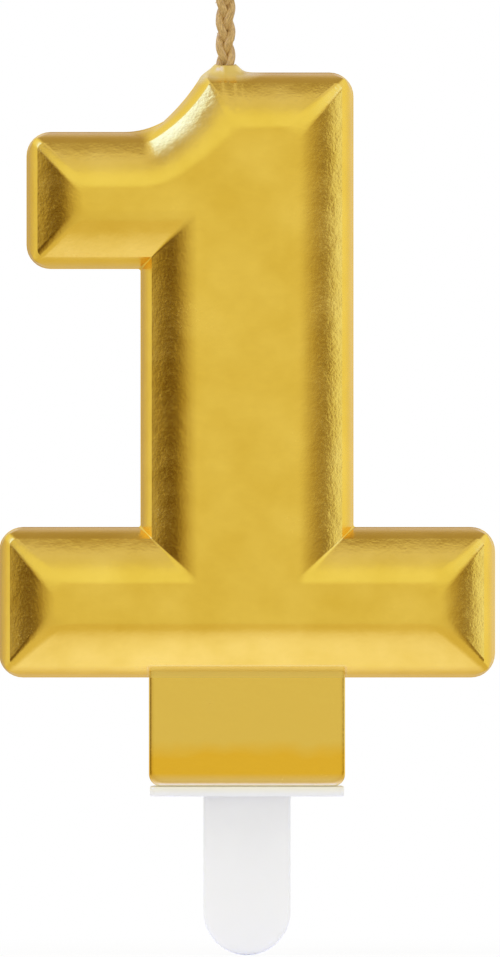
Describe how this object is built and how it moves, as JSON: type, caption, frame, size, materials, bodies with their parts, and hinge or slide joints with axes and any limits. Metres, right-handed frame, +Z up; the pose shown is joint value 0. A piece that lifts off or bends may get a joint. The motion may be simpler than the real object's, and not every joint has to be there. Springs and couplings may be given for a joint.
{
  "type": "number candle",
  "caption": "Upright moulded wax numeral one with a crowned metallic gold face, a wide serif bar, a plaited wick at the top and a flat plastic pick below for standing it in a cake.",
  "frame": {"origin": "centre of the pick flange's underside, in the plane where it meets the top of the cake", "axes": "+Z up along the stem to the wick's tip, -Y out of the numeral's front face, +X to the right of a viewer who reads the numeral"},
  "size_m": [0.0494, 0.0128, 0.0974],
  "materials": {
    "gold_lacquer": "satin",
    "paraffin": "satin",
    "waxed_cotton": "matte",
    "white_plastic": "gloss"
  },
  "bodies": {
    "pick_body": {"pick": "white_plastic"},
    "candle_body": {"gold_coat": "gold_lacquer", "wax_core": "paraffin", "wick": "waxed_cotton"}
  },
  "joints": [
    {"name": "pull_off_pick", "type": "slide", "parent": "pick_body", "child": "candle_body", "axis": [0, 0, 1], "range_m": [0, 0.0075]}
  ]
}
